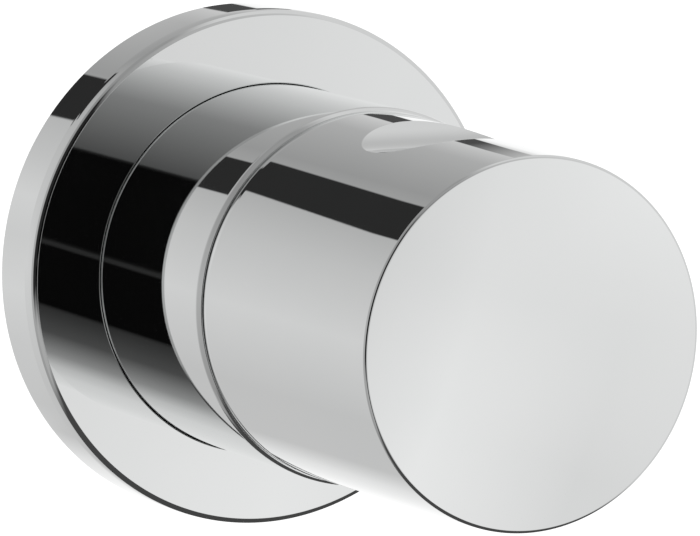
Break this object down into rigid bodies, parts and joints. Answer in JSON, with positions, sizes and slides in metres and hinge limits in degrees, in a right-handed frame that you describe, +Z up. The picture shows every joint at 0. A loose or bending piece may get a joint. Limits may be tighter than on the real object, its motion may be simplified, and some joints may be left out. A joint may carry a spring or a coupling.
{
  "type": "concealed stop valve trim",
  "caption": "Round chromed stop valve for a wall: escutcheon, collar, cylinder knob with a thumb hollow, and a quarter-turn ceramic headwork behind.",
  "frame": {"origin": "centre of the escutcheon's back edge, in the plane of the finished wall", "axes": "+Y into the wall along the valve's axis, -Y out of the wall to the knob's face, +Z up, +X to the right seen from the front"},
  "size_m": [0.07, 0.1322, 0.07],
  "materials": {
    "chrome_trim": "polished chrome plate",
    "raw_brass": "turned, bare",
    "moulded_plastic": "moulded, matt",
    "bearing_plastic": "smooth bearing plastic",
    "black_rubber": "moulded rubber",
    "foam_rubber": "closed-cell foam",
    "white_ceramic": "lapped alumina",
    "spring_steel": "spring steel",
    "screw_steel": "stainless steel"
  },
  "bodies": {
    "base": {"escutcheon": "chrome_trim", "collar": "chrome_trim", "escutcheon_insert": "moulded_plastic", "glide_ring": "bearing_plastic", "carrier_ring": "moulded_plastic", "slide_washer": "bearing_plastic", "escutcheon_o_ring": "black_rubber", "collar_o_ring": "black_rubber", "housing_o_ring": "black_rubber", "seat_seal": "black_rubber", "wall_seal": "foam_rubber", "headwork_housing": "raw_brass", "fixed_ceramic_disc": "white_ceramic"},
    "knob_group": {"turning_ceramic_disc": "white_ceramic", "spindle": "raw_brass", "spindle_o_ring_lower": "black_rubber", "spindle_o_ring_upper": "black_rubber", "spindle_circlip": "spring_steel", "spindle_extension": "raw_brass", "extension_screw": "screw_steel", "spline_adapter": "moulded_plastic", "knob": "chrome_trim", "grub_screw": "screw_steel"}
  },
  "joints": [
    {"name": "knob_turn", "type": "hinge", "parent": "base", "child": "knob_group", "pos_m": [0, 0, 0], "axis": [0, -1, 0], "range_deg": [0, 90]}
  ]
}
